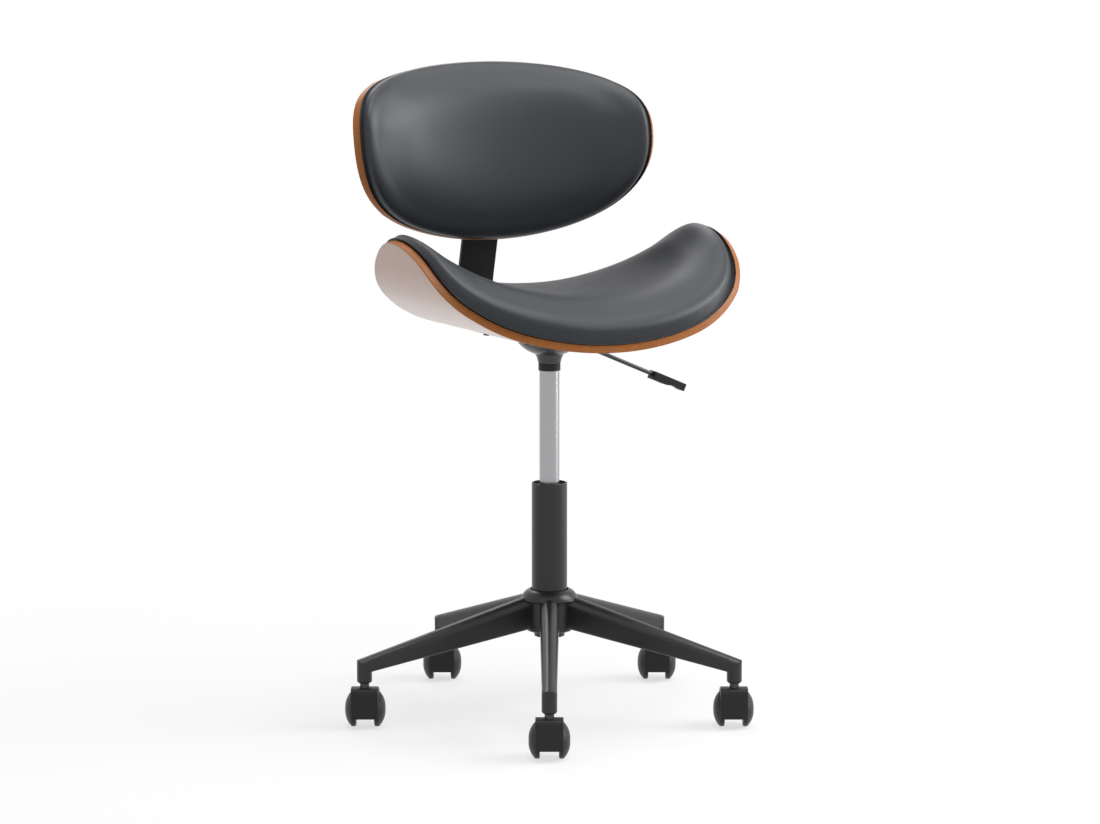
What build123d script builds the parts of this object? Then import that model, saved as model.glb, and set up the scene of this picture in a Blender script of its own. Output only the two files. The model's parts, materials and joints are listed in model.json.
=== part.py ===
"""Bentwood office chair: padded plywood seat and back on a gas-lift column with a five-leg caster base.

Millimetres and degrees. The column stands on Z with the floor at Z = 0, and the seat faces -Y.
"""

import os
from dataclasses import dataclass, replace
from math import asin, copysign, cos, degrees, pi, radians, sin, sqrt

from build123d import *

os.makedirs("parts", exist_ok=True)

# Clearances
running_gap = 0.05  # shaft in a hole that it turns or slides in, each side
press_gap = 0.02  # piece pressed or screwed into another, each side
pad_gap = 0.6  # pad over its plywood shell
plate_gap = 0.05  # bolted steel against plywood
swing_gap = 0.3  # flat faces that move past each other

# Five-leg base
base_turn = 24  # how far the base and its casters stand turned from the seat's front
leg_count = 5
caster_circle = 271  # column axis to a caster's stem
hub_radius = 33.5
hub_bottom = 124
hub_top = 183
hub_cap_radius = 40
hub_cap_top_radius = 28
hub_cap_height = 14
hub_cap_lip = 3
hub_cap_bulge = 2.5
hub_mouth_gap = 2
hub_mouth_depth = 6
hub_chamfer = 2
leg_root_width = 27
leg_root_top = 175
leg_root_bottom = 128
leg_tip_top = 101.5
leg_tip_bottom = 80
leg_edge_radius = 4
leg_shrink = 1  # leg narrower than its socket
socket_radius = 10.5
socket_bottom = 66
socket_bore_depth = 24
socket_chamfer = 2

# Column
tube_radius = 25
tube_wall = 2
tube_top = 335
tube_tail_radius = 21.5  # crimped lower end under the hub
tube_bottom = 116
tube_floor = 3
bush_length = 66
bush_drop = 2.5  # bush below the rim of the tube
bush_lip_height = 4
bush_lip_recess = 3
bearing_radius = 13
bearing_height = 7
bearing_groove = 1
rod_radius = 5
rod_neck_radius = 4
rod_tail = 5  # neck below the tube
clip_radius = 8
clip_thickness = 1.5
clip_drop = 1
piston_height = 12
piston_stop_gap = 1
cylinder_radius = 14
cylinder_bore_radius = 11.5
cylinder_overhang = 4.5  # cylinder below the bush
cylinder_drop = 28  # middle of the seat shell's upper face to the cylinder's top
cylinder_head = 43  # cylinder's top to the end of its bore
cone_length = 17
cone_taper = 0.8  # loss of radius over the cone
gland_height = 12
valve_radius = 4
valve_length = 16
valve_bore_depth = 16
collar_radius = 15.5
collar_drop = 29  # cylinder's top to the collar's lower edge
collar_height = 10.5
collar_edge = 0.8

# Socket dish under the seat
dish_gap = 0.5  # dish above the collar
cup_bottom_radius = 15.9
cup_top_radius = 20
cup_height = 12
dish_radius = 48
dish_waist_radius = 22
dish_wall = 2.2
dish_sag = 3
socket_wall = 3.5
dish_slot_start = 33.5
dish_slot_width = 20

# Seat shell
seat_height = 551  # middle of the shell's upper face
seat_tilt = 1  # rear lower than the front
ply = 11
seat_middle_radius = 440  # bends of the shell, from the middle outwards
seat_middle_turn = 16.5
seat_haunch_radius = 200
seat_haunch_turn = 22.5
seat_wing_radius = 90
seat_wing_turn = 36.5
seat_tip_run = 56  # straight end of each wing, before it is cut to the oval
seat_half_run = 297
seat_front_depth = 206
seat_rear_depth = 155
seat_shift = 13  # middle of the oval in front of the column
seat_front_swell = 2.3
seat_front_blunt = 2.1
seat_rear_swell = 2.8
seat_rear_blunt = 1.8

# Seat pad
seat_pad_inset = 2
seat_pad_thickness = 57
pad_end_swell = 7  # how far along the run the pad keeps its thickness
pad_end_blunt = 0.28
pad_low_edge_share = 0.84  # rounding of the two long edges, as shares of the thickness
pad_low_shoulder_share = 0.78
pad_high_edge_share = 0.77
pad_high_shoulder_share = 0.87
pad_belly_share = 0.19
pad_edge_limit_share = 0.4  # most that each rounded edge takes of the pad's width

# Seat plate and its fasteners
plate_thickness = 3
plate_half_width = 70
plate_front = 70
plate_rear = 112
plate_corner = 14
ear_width = 10
ear_thickness = 3
bolt_radius = 3
bolt_head_radius = 5.5
bolt_head_height = 3.5
bolt_hole_gap = 0.3
bolt_tip_drop = 1.5
bolt_key_radius = 2
bolt_key_depth = 2
nut_flange_radius = 8.5
nut_flange_height = 1.2
nut_barrel_radius = 4
nut_length = 9
plate_bolt_run = 55
plate_bolt_front = -52
plate_bolt_rear = 92
bracket_bolt_places = (64, 83, 102)

# Back shell and pad
back_depth = 225  # column axis to the middle of the shell's front face
back_rise = 250.5  # seat height to the middle of the back
back_recline = 11
back_middle_radius = 550  # bends of the shell, from the middle outwards
back_middle_turn = 13
back_wing_radius = 171
back_wing_turn = 50
back_half_run = 248
back_up_reach = 114
back_down_reach = 143
back_swell = 2
back_blunt = 2.3
back_pad_inset = 1
back_pad_thickness = 36
back_bolt_places = (-28, 0, 28)

# Back bracket
bar_width = 55
bar_thickness = 6
bar_start = 53
bar_corner = 288.5  # where the run under the seat and the riser would meet
bar_lean = 16.5  # riser leans forward as it climbs
bar_lower_radius = 55
bar_upper_radius = 110
bar_top = 48
bar_end_radius = 14

# Lever
lever_pivot = 38.5  # column axis to the pin
lever_slope = 23.5
lever_rod_radius = 3
lever_headroom = 4.3  # plate to the tongue's middle
tongue_thickness = 4
tongue_width = 10
tongue_overreach = 7
eye_radius = 5
pin_radius = 2
lever_reach = 131.5  # pin to the handle
handle_length = 53
handle_width = 20
handle_top = 4.8
handle_bottom = 7
handle_thin_bottom = 4.8
handle_thin_length = 22
handle_step_length = 6
handle_bump = 1
handle_bump_length = 6
handle_edge = 1.6
handle_bore_depth = 34

# Casters
wheel_radius = 25
wheel_inner = 12.9  # middle of the caster to a wheel's inner face
wheel_tread = 6
wheel_outer = 28.2
wheel_edge = 1.5
wheel_dome_radius = 17
wheel_dome_width = 24.9
wheel_cap_radius = 4
caster_trail = 17
hood_half_width = 19
hood_radius = 30
hood_top = 59
hood_bottom = 15.5
hood_web_gap = 0.5
hood_well_gap = 1.2
hood_top_length = 20
hood_front_round = 8
hood_rear_round = 5
hood_hub_radius = 9
hood_rear_cut = 5
hood_edge = 1.2
axle_radius = 3
axle_half_length = 22
axle_end_gap = 0.5
stem_radius = 5.5
stem_root_radius = 5
stem_root_depth = 18
stem_collar_radius = 6.5
stem_top_gap = 2


@dataclass
class Oval:
    """Outline of a bent sheet, laid flat: half its run, and its reach to the low and the high side."""

    half_run: float
    centre: float
    low_reach: float
    low_swell: float
    low_blunt: float
    high_reach: float
    high_swell: float
    high_blunt: float

    def limits(self, run):
        share = min(abs(run) / self.half_run, 1)
        low = self.low_reach * (1 - share**self.low_swell) ** (1 / self.low_blunt)
        high = self.high_reach * (1 - share**self.high_swell) ** (1 / self.high_blunt)
        return self.centre - low, self.centre + high

    def point(self, angle):
        high_side = sin(angle) > 0
        reach = self.high_reach if high_side else self.low_reach
        swell = self.high_swell if high_side else self.low_swell
        blunt = self.high_blunt if high_side else self.low_blunt
        run = self.half_run * copysign(abs(cos(angle)) ** (2 / swell), cos(angle))
        across = self.centre + reach * copysign(abs(sin(angle)) ** (2 / blunt), sin(angle))
        return run, across

    def inset(self, amount):
        return replace(
            self,
            half_run=self.half_run - amount,
            low_reach=self.low_reach - amount,
            high_reach=self.high_reach - amount,
        )


def save(builder, name):
    builder.part.label = name
    export_step(builder.part, f"parts/{name}.step")


def lathe(*points, axis=Axis.Z, plane=Plane.XZ):
    with BuildSketch(plane) as profile:
        with BuildLine():
            Polyline(*points, close=True)
        make_face()
    revolve(profile.sketch, axis=axis)


def ring(inner, outer, low, high):
    lathe((inner, low), (outer, low), (outer, high), (inner, high))


def drill(place, radius, top, depth, mode=Mode.SUBTRACT):
    with BuildSketch(place.offset(top)) as disc:
        Circle(radius)
    extrude(disc.sketch, amount=-depth, mode=mode)


# Bent sheets: a half profile of tangent arcs, measured by its run from the middle
def half_profile(start, bends, growth, straight):
    place, heading = start, (1, 0)
    for radius, turn in bends:
        bend = JernArc(start=place, tangent=heading, radius=radius + growth, arc_size=turn)
        place, heading = bend @ 1, bend % 1
    if straight:
        return PolarLine(start=place, length=straight, direction=heading)
    return bend


def sheet_plane(sheet, plane, run, across=0, lift=0):
    place = sheet.position_at(abs(run), position_mode=PositionMode.LENGTH)
    along = sheet.tangent_at(abs(run), position_mode=PositionMode.LENGTH)
    if run < 0:
        place = Vector(-place.X, place.Y, place.Z)
        along = Vector(along.X, -along.Y, -along.Z)
    normal = plane.z_dir.cross(along)
    return Plane(place - plane.z_dir * across + normal * lift, x_dir=-plane.z_dir, z_dir=along)


def bolt_plane(sheet, plane, run, across):
    section = sheet_plane(sheet, plane, run, across)
    return Plane(section.origin, x_dir=section.z_dir, z_dir=section.y_dir)


def bent_ply(sheet, plane, bends, straight, oval):
    spare = 2 * ply
    outline_count = 48
    loops = []
    for lift in (spare, -ply - spare):
        angles = [2 * pi * step / outline_count for step in range(outline_count)]
        places = [sheet_plane(sheet, plane, *oval.point(angle), lift).origin for angle in angles]
        steps = [step / outline_count for step in range(outline_count + 1)]
        loops.append(Edge.make_spline(places, parameters=steps, periodic=True))
    curtain = Face.make_surface_from_curves(*loops)
    with BuildSketch(plane) as profile:
        with BuildLine():
            upper = half_profile((0, 0), bends, 0, straight)
            lower = half_profile((0, -ply), bends, ply, straight)
            Line(upper @ 1, lower @ 1)
            mirror(about=Plane.YZ)
        make_face()
    blank = extrude(profile.sketch, amount=oval.low_reach + oval.high_reach, both=True)
    pieces = blank.solid().split(curtain, Keep.ALL)
    middle = plane.origin - plane.y_dir * ply / 2
    add(pieces.sort_by_distance(middle)[0], mode=Mode.REPLACE)


def crowned_pad(sheet, plane, oval, thickness):
    station_count = 21
    last_angle = 86
    sections = []
    for station in range(station_count):
        angle = radians(last_angle * (2 * station / (station_count - 1) - 1))
        run = oval.half_run * sin(angle)
        low, high = oval.limits(run)
        height = thickness * (1 - (abs(run) / oval.half_run) ** pad_end_swell) ** pad_end_blunt
        edge_limit = pad_edge_limit_share * (high - low)
        low_edge = min(pad_low_edge_share * height, edge_limit)
        high_edge = min(pad_high_edge_share * height, edge_limit)
        low_top = pad_low_shoulder_share * height
        high_top = pad_high_shoulder_share * height
        low_bulge = (-pad_belly_share * low_top, pad_belly_share * low_edge)
        high_bulge = (pad_belly_share * high_top, pad_belly_share * high_edge)
        low_belly = (low + low_edge / 2 + low_bulge[0], low_top / 2 + low_bulge[1])
        high_belly = (high - high_edge / 2 + high_bulge[0], high_top / 2 + high_bulge[1])
        low_shoulder = (low + low_edge, low_top)
        high_shoulder = (high - high_edge, high_top)
        with BuildSketch(sheet_plane(sheet, plane, run, lift=pad_gap)) as section:
            with BuildLine():
                ThreePointArc((low, 0), low_belly, low_shoulder)
                ThreePointArc(low_shoulder, ((low_shoulder[0] + high_shoulder[0]) / 2, height), high_shoulder)
                ThreePointArc(high_shoulder, high_belly, (high, 0))
                Line((high, 0), (low, 0))
            make_face()
        sections.append(section.sketch)
    loft(sections)


# Base hub: a cylinder round the column under a rounded cap
cap_rim = hub_top - hub_cap_height
with BuildPart() as base_hub:
    with BuildSketch(Plane.XZ):
        with BuildLine():
            mouth = tube_radius + hub_mouth_gap
            rim = (hub_cap_radius, cap_rim)
            crown = (hub_cap_top_radius, hub_top)
            Polyline(
                crown,
                (mouth, hub_top),
                (mouth, hub_top - hub_mouth_depth),
                (tube_radius, hub_top - hub_mouth_depth),
                (tube_radius, hub_bottom),
                (hub_radius - hub_chamfer, hub_bottom),
                (hub_radius, hub_bottom + hub_chamfer),
                (hub_radius, cap_rim - hub_cap_lip),
                rim,
            )
            swell = Vector(hub_cap_height, hub_cap_radius - hub_cap_top_radius).normalized() * hub_cap_bulge
            ThreePointArc(rim, (Vector(*rim) + Vector(*crown)) / 2 + swell, crown)
        make_face()
    revolve(axis=Axis.Z)
save(base_hub, "base_hub")

# Legs taper from the hub to a vertical socket for the caster's stem
leg_tip_width = 2 * socket_radius - leg_shrink


def leg_section(heading, distance, widening=0):
    share = (distance - hub_radius) / (caster_circle - hub_radius)
    width = leg_root_width + share * (leg_tip_width - leg_root_width) + widening
    low = leg_root_bottom + share * (leg_tip_bottom - leg_root_bottom)
    high = leg_root_top + share * (leg_tip_top - leg_root_top)
    spring = high - width / 2
    out = Vector(cos(radians(heading)), sin(radians(heading)))
    with BuildSketch(Plane(out * distance, x_dir=(-out.Y, out.X, 0), z_dir=out)) as section:
        with BuildLine():
            FilletPolyline(
                (-width / 2, spring),
                (-width / 2, low),
                (width / 2, low),
                (width / 2, spring),
                radius=leg_edge_radius,
            )
            ThreePointArc((width / 2, spring), (0, high), (-width / 2, spring))
        make_face()
    return section.sketch


first_heading = 270 - base_turn
headings = [first_heading + 360 / leg_count * leg for leg in range(leg_count)]
stem_places = [
    Vector(caster_circle * cos(radians(heading)), caster_circle * sin(radians(heading)))
    for heading in headings
]
for leg, (heading, stem) in enumerate(zip(headings, stem_places), start=1):
    with BuildPart() as base_leg:
        root = leg_section(heading, (hub_radius + tube_radius) / 2)
        loft([root, leg_section(heading, caster_circle)], ruled=True)
        add(base_hub.part, mode=Mode.SUBTRACT)
        with Locations(stem):
            Cylinder(socket_radius, 2 * hub_top, mode=Mode.SUBTRACT)
    save(base_leg, f"base_leg_{leg}")

    with BuildPart() as leg_socket:
        near = leg_section(heading, caster_circle - 2 * socket_radius, 2 * leg_shrink)
        far = leg_section(heading, caster_circle + 2 * socket_radius, 2 * leg_shrink)
        loft([near, far], ruled=True)
        with Locations(stem):
            Cylinder(socket_radius, 2 * hub_top, mode=Mode.INTERSECT)
        lathe(
            (0, socket_bottom),
            (socket_radius - socket_chamfer, socket_bottom),
            (socket_radius, socket_bottom + socket_chamfer),
            (socket_radius, leg_tip_bottom + leg_edge_radius),
            (0, leg_tip_bottom + leg_edge_radius),
            axis=Axis(stem, (0, 0, 1)),
            plane=Plane(stem, x_dir=(1, 0, 0), z_dir=(0, -1, 0)),
        )
        drill(Plane(stem), stem_radius + running_gap, socket_bottom + socket_bore_depth, socket_bore_depth)
    save(leg_socket, f"leg_socket_{leg}")

# Column tube with a crimped tail and a floor for the thrust bearing
tube_bore = tube_radius - tube_wall
tail_bore = tube_tail_radius - tube_wall
floor_top = tube_bottom + tube_floor
neck_hole = rod_neck_radius + running_gap
with BuildPart() as column_tube:
    lathe(
        (neck_hole, tube_bottom),
        (tube_tail_radius, tube_bottom),
        (tube_tail_radius, hub_bottom),
        (tube_radius, hub_bottom),
        (tube_radius, tube_top),
        (tube_bore, tube_top),
        (tube_bore, hub_bottom + tube_wall),
        (tail_bore, hub_bottom),
        (tail_bore, floor_top),
        (neck_hole, floor_top),
    )
    fillet(column_tube.edges().sort_by(Axis.Z)[-2:], tube_wall / 4)
save(column_tube, "column_tube")

bush_top = tube_top - bush_drop
bush_bore = cylinder_radius + running_gap
with BuildPart() as guide_bush:
    lathe(
        (bush_bore, bush_top - bush_length),
        (tube_bore, bush_top - bush_length),
        (tube_bore, bush_top),
        (tube_bore - bush_lip_recess, bush_top),
        (tube_bore - bush_lip_recess, bush_top - bush_lip_height / 2),
        (bush_bore + bush_lip_recess, bush_top - bush_lip_height / 2),
        (bush_bore + bush_lip_recess / 2, bush_top),
        (bush_bore, bush_top),
    )
save(guide_bush, "guide_bush")

bearing_top = floor_top + bearing_height
with BuildPart() as thrust_bearing:
    groove_low = floor_top + (bearing_height - bearing_groove) / 2
    lathe(
        (neck_hole, floor_top),
        (bearing_radius, floor_top),
        (bearing_radius, groove_low),
        (bearing_radius - bearing_groove, groove_low),
        (bearing_radius - bearing_groove, groove_low + bearing_groove),
        (bearing_radius, groove_low + bearing_groove),
        (bearing_radius, bearing_top),
        (neck_hole, bearing_top),
    )
save(thrust_bearing, "thrust_bearing")

clip_top = tube_bottom - clip_drop
with BuildPart() as retaining_clip:
    ring(rod_neck_radius, clip_radius, clip_top - clip_thickness, clip_top)
save(retaining_clip, "retaining_clip")

# Piston rod stands on the bearing, and the gas cylinder slides over it
cylinder_top = seat_height - cylinder_drop
cylinder_bottom = bush_top - bush_length - cylinder_overhang
gland_top = cylinder_bottom + gland_height
piston_bottom = gland_top + piston_stop_gap
with BuildPart() as piston_rod:
    lathe(
        (0, tube_bottom - rod_tail),
        (rod_neck_radius, tube_bottom - rod_tail),
        (rod_neck_radius, bearing_top),
        (rod_radius, bearing_top),
        (rod_radius, piston_bottom),
        (cylinder_bore_radius - running_gap, piston_bottom),
        (cylinder_bore_radius - running_gap, piston_bottom + piston_height),
        (0, piston_bottom + piston_height),
    )
save(piston_rod, "piston_rod")

with BuildPart() as gas_cylinder:
    lathe(
        (cylinder_bore_radius, cylinder_bottom),
        (cylinder_radius, cylinder_bottom),
        (cylinder_radius, cylinder_top - cone_length),
        (cylinder_radius - cone_taper, cylinder_top),
        (valve_radius + running_gap, cylinder_top),
        (valve_radius + running_gap, cylinder_top - valve_bore_depth),
        (0, cylinder_top - valve_bore_depth),
        (0, cylinder_top - cylinder_head),
        (cylinder_bore_radius, cylinder_top - cylinder_head),
    )
save(gas_cylinder, "gas_cylinder")

with BuildPart() as cylinder_gland:
    ring(rod_radius + running_gap, cylinder_bore_radius, cylinder_bottom, gland_top)
save(cylinder_gland, "cylinder_gland")

collar_bottom = cylinder_top - collar_drop
collar_top = collar_bottom + collar_height
with BuildPart() as collar_ring:
    ring(cylinder_radius + press_gap, collar_radius, collar_bottom, collar_top)
    rims = collar_ring.edges().filter_by(GeomType.CIRCLE).sort_by(SortBy.RADIUS)[-2:]
    fillet(rims, collar_edge)
save(collar_ring, "collar_ring")

# Seat shell, bent round Y and cut to an oval
lean = radians(seat_tilt)
seat_plane = Plane((0, 0, seat_height), x_dir=(1, 0, 0), z_dir=(0, -cos(lean), sin(lean)))
seat_rear = -seat_plane.z_dir
seat_up = seat_plane.y_dir
seat_bends = [
    (seat_middle_radius, seat_middle_turn),
    (seat_haunch_radius, seat_haunch_turn),
    (seat_wing_radius, seat_wing_turn),
]
seat_oval = Oval(
    half_run=seat_half_run,
    centre=-seat_shift,
    low_reach=seat_front_depth,
    low_swell=seat_front_swell,
    low_blunt=seat_front_blunt,
    high_reach=seat_rear_depth,
    high_swell=seat_rear_swell,
    high_blunt=seat_rear_blunt,
)
with BuildLine(seat_plane) as seat_line:
    half_profile((0, 0), seat_bends, 0, seat_tip_run)
seat_sheet = seat_line.wire()

plate_bolt_planes = [
    bolt_plane(seat_sheet, seat_plane, side * plate_bolt_run, across)
    for side in (-1, 1)
    for across in (plate_bolt_front, plate_bolt_rear)
]
bracket_bolt_planes = [bolt_plane(seat_sheet, seat_plane, 0, across) for across in bracket_bolt_places]


def nut_holes(planes):
    for place in planes:
        drill(place, nut_barrel_radius + press_gap, ply, 3 * ply)
        drill(place, nut_flange_radius + press_gap, ply, ply + nut_flange_height)


def tee_nuts(planes):
    for place in planes:
        drill(place, nut_flange_radius, 0, nut_flange_height, mode=Mode.ADD)
        drill(place, nut_barrel_radius, 0, nut_length, mode=Mode.ADD)
        drill(place, bolt_radius + press_gap, 0, nut_length)


def bolts(planes, grip):
    for place in planes:
        drill(place, bolt_radius, -bolt_tip_drop, grip - bolt_tip_drop, mode=Mode.ADD)
        with BuildSketch(place.offset(-grip)) as flange:
            Circle(bolt_head_radius)
        crown = place.offset(-grip - bolt_head_height)
        with BuildSketch(crown) as face:
            Circle(bolt_head_radius - bolt_head_height / 2)
        loft([flange.sketch, face.sketch])
        with BuildSketch(crown) as key:
            RegularPolygon(bolt_key_radius, 6)
        extrude(key.sketch, amount=bolt_key_depth, mode=Mode.SUBTRACT)


with BuildPart() as seat_shell:
    bent_ply(seat_sheet, seat_plane, seat_bends, seat_tip_run, seat_oval)
    nut_holes(plate_bolt_planes + bracket_bolt_planes)
save(seat_shell, "seat_shell")

with BuildPart() as seat_pad:
    crowned_pad(seat_sheet, seat_plane, seat_oval.inset(seat_pad_inset), seat_pad_thickness)
save(seat_pad, "seat_pad")

# Seat plate follows the curve of the shell and carries the lever's pin in two ears
plate_top_radius = seat_middle_radius + ply + plate_gap
plate_bottom_radius = plate_top_radius + plate_thickness
plate_grip = ply + plate_gap + plate_thickness
pivot_height = seat_height - plate_grip - lever_headroom
pivot = Vector(lever_pivot, 0, pivot_height)
ear_gap = (dish_slot_width - tongue_width) / 2 - ear_thickness
with BuildPart() as seat_plate:
    with BuildSketch(seat_plane):
        with Locations((0, seat_middle_radius)):
            Circle(plate_bottom_radius)
            Circle(plate_top_radius, mode=Mode.SUBTRACT)
        with Locations((0, -plate_grip)):
            Rectangle(2 * plate_half_width, 4 * plate_grip, mode=Mode.INTERSECT)
    extrude(amount=plate_front)
    with BuildSketch(seat_plane):
        with Locations((0, seat_middle_radius)):
            Circle(plate_bottom_radius)
            Circle(plate_top_radius, mode=Mode.SUBTRACT)
        with Locations((0, -plate_grip)):
            Rectangle(2 * plate_half_width, 4 * plate_grip, mode=Mode.INTERSECT)
    extrude(amount=-plate_rear)
    corners = seat_plate.edges().filter_by(lambda edge: abs(edge.length - plate_thickness) < plate_gap)
    fillet(corners, plate_corner)
    for side in (-1, 1):
        with BuildSketch(Plane.XZ.offset(-side * (tongue_width / 2 + ear_gap / 2))):
            with Locations((lever_pivot, pivot_height)):
                Circle(ear_width / 2)
            with Locations((lever_pivot, pivot_height + (lever_headroom + plate_thickness) / 2)):
                Rectangle(ear_width, lever_headroom + plate_thickness)
        extrude(amount=-side * ear_thickness)
    above = Plane(seat_plane.origin + seat_up * seat_middle_radius, seat_plane.x_dir, seat_plane.z_dir)
    with BuildSketch(above):
        Circle(plate_top_radius)
    extrude(amount=plate_rear, both=True, mode=Mode.SUBTRACT)
    with BuildSketch(Plane.XZ):
        with Locations((lever_pivot, pivot_height)):
            Circle(pin_radius + press_gap)
    extrude(amount=dish_slot_width, both=True, mode=Mode.SUBTRACT)
    for place in plate_bolt_planes + bracket_bolt_planes:
        drill(place, bolt_radius + bolt_hole_gap, 0, 2 * plate_grip)
save(seat_plate, "seat_plate")

with BuildPart() as plate_bolts:
    bolts(plate_bolt_planes, plate_grip)
save(plate_bolts, "plate_bolts")

# Socket dish: a cup on the cylinder's cone that flares out to the plate
cup_bottom = collar_top + dish_gap
cup_top = cup_bottom + cup_height
rim_height = seat_height - plate_grip
with BuildPart() as socket_dish:
    with BuildSketch(Plane.XZ):
        with BuildLine():
            waist = Vector(dish_waist_radius, cup_top + dish_wall / 2)
            lip = Vector(dish_radius, rim_height + dish_wall)
            sag = Vector(lip.Y - waist.Y, waist.X - lip.X).normalized() * dish_sag
            inner_waist = Vector(cylinder_radius + socket_wall, cup_top + 2 * dish_wall)
            inner_lip = lip - Vector(dish_wall, 0)
            cup_end = Vector(cup_top_radius, cup_top)
            Polyline(
                inner_waist,
                (cylinder_radius + socket_wall, cylinder_top - dish_wall / 4),
                (cylinder_radius + press_gap, cylinder_top - dish_wall / 4),
                (cylinder_radius + press_gap, cup_bottom),
                (cup_bottom_radius, cup_bottom),
            )
            ThreePointArc(
                (cup_bottom_radius, cup_bottom),
                ((cup_bottom_radius + cup_top_radius) / 2 - dish_wall / 4, cup_bottom + cup_height / 2),
                cup_end,
            )
            Line(cup_end, waist)
            ThreePointArc(waist, (waist + lip) / 2 + sag, lip)
            Line(lip, inner_lip)
            ThreePointArc(inner_lip, (inner_waist + inner_lip) / 2 + sag, inner_waist)
        make_face()
    revolve(axis=Axis.Z)
    with BuildSketch(above):
        Circle(plate_bottom_radius + plate_gap)
    extrude(amount=2 * dish_radius, both=True, mode=Mode.SUBTRACT)
    with Locations((dish_slot_start, 0, rim_height)):
        Box(
            dish_radius,
            dish_slot_width + 2 * swing_gap,
            4 * cup_height,
            align=(Align.MIN, Align.CENTER, Align.CENTER),
            mode=Mode.SUBTRACT,
        )
save(socket_dish, "socket_dish")

# Lever: a flat tongue over the valve pin, an eye on the pivot and a rod to the handle
fall = radians(lever_slope)
rod_plane = Plane(pivot, x_dir=(cos(fall), 0, -sin(fall)), z_dir=(0, -1, 0))
rod_end = lever_reach + handle_bore_depth - swing_gap
with BuildPart() as lever_rod:
    with BuildSketch(Plane(pivot, x_dir=(0, 1, 0), z_dir=rod_plane.x_dir)):
        Circle(lever_rod_radius)
    extrude(amount=rod_end)
    with BuildSketch(Plane.XZ):
        with Locations((lever_pivot, pivot_height)):
            Circle(eye_radius)
        tongue_length = lever_pivot + tongue_overreach
        with Locations((lever_pivot - tongue_length / 2, pivot_height)):
            Rectangle(tongue_length, tongue_thickness)
    extrude(amount=tongue_width / 2, both=True)
    with BuildSketch(Plane.XZ):
        with Locations((lever_pivot, pivot_height)):
            Circle(pin_radius + running_gap)
    extrude(amount=tongue_width, both=True, mode=Mode.SUBTRACT)
save(lever_rod, "lever_rod")

with BuildPart() as lever_pin:
    with BuildSketch(Plane.XZ):
        with Locations((lever_pivot, pivot_height)):
            Circle(pin_radius)
    extrude(amount=tongue_width / 2 + ear_gap / 2 + ear_thickness, both=True)
save(lever_pin, "lever_pin")

with BuildPart() as lever_handle:
    handle_end = lever_reach + handle_length
    bump_start = handle_end - handle_bump_length
    thin_start = handle_end - handle_thin_length
    with BuildSketch(rod_plane):
        with BuildLine():
            Polyline(
                (lever_reach, handle_top),
                (handle_end, handle_top),
                (handle_end, -handle_thin_bottom - handle_bump),
                (bump_start, -handle_thin_bottom - handle_bump),
                (bump_start - handle_bump, -handle_thin_bottom),
                (thin_start, -handle_thin_bottom),
                (thin_start - handle_step_length, -handle_bottom),
                (lever_reach, -handle_bottom),
                close=True,
            )
        make_face()
    extrude(amount=handle_width / 2, both=True)
    upright = lever_handle.edges().filter_by(Axis.Y)
    fillet(upright.group_by(SortBy.DISTANCE)[0], handle_edge / 2)
    end_faces = lever_handle.faces().filter_by(Axis.Y)
    fillet(end_faces.edges(), handle_edge / 2)
    with BuildSketch(Plane(pivot, x_dir=(0, 1, 0), z_dir=rod_plane.x_dir).offset(lever_reach)):
        Circle(lever_rod_radius + press_gap)
    extrude(amount=handle_bore_depth, mode=Mode.SUBTRACT)
save(lever_handle, "lever_handle")

valve_top = pivot_height - tongue_thickness / 2 - swing_gap
with BuildPart() as valve_pin:
    lathe(
        (0, valve_top - valve_length),
        (valve_radius, valve_top - valve_length),
        (valve_radius, valve_top),
        (0, valve_top),
    )
save(valve_pin, "valve_pin")

# Back shell, bent round its upright and cut to an oval
recline = radians(back_recline)
back_up = Vector(0, sin(recline), cos(recline))
back_plane = Plane((0, back_depth, seat_height + back_rise), x_dir=(1, 0, 0), z_dir=-back_up)
back_front = back_plane.y_dir
back_bends = [(back_middle_radius, back_middle_turn), (back_wing_radius, back_wing_turn)]
back_oval = Oval(
    half_run=back_half_run,
    centre=0,
    low_reach=back_down_reach,
    low_swell=back_swell,
    low_blunt=back_blunt,
    high_reach=back_up_reach,
    high_swell=back_swell,
    high_blunt=back_blunt,
)
with BuildLine(back_plane) as back_line:
    half_profile((0, 0), back_bends, 0, 0)
back_sheet = back_line.wire()
back_bolt_planes = [bolt_plane(back_sheet, back_plane, 0, across) for across in back_bolt_places]

with BuildPart() as back_shell:
    bent_ply(back_sheet, back_plane, back_bends, 0, back_oval)
    nut_holes(back_bolt_planes)
save(back_shell, "back_shell")

with BuildPart() as back_pad:
    crowned_pad(back_sheet, back_plane, back_oval.inset(back_pad_inset), back_pad_thickness)
save(back_pad, "back_pad")

with BuildPart() as tee_nut_set:
    tee_nuts(plate_bolt_planes + bracket_bolt_planes + back_bolt_planes)
save(tee_nut_set, "tee_nuts")

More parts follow.
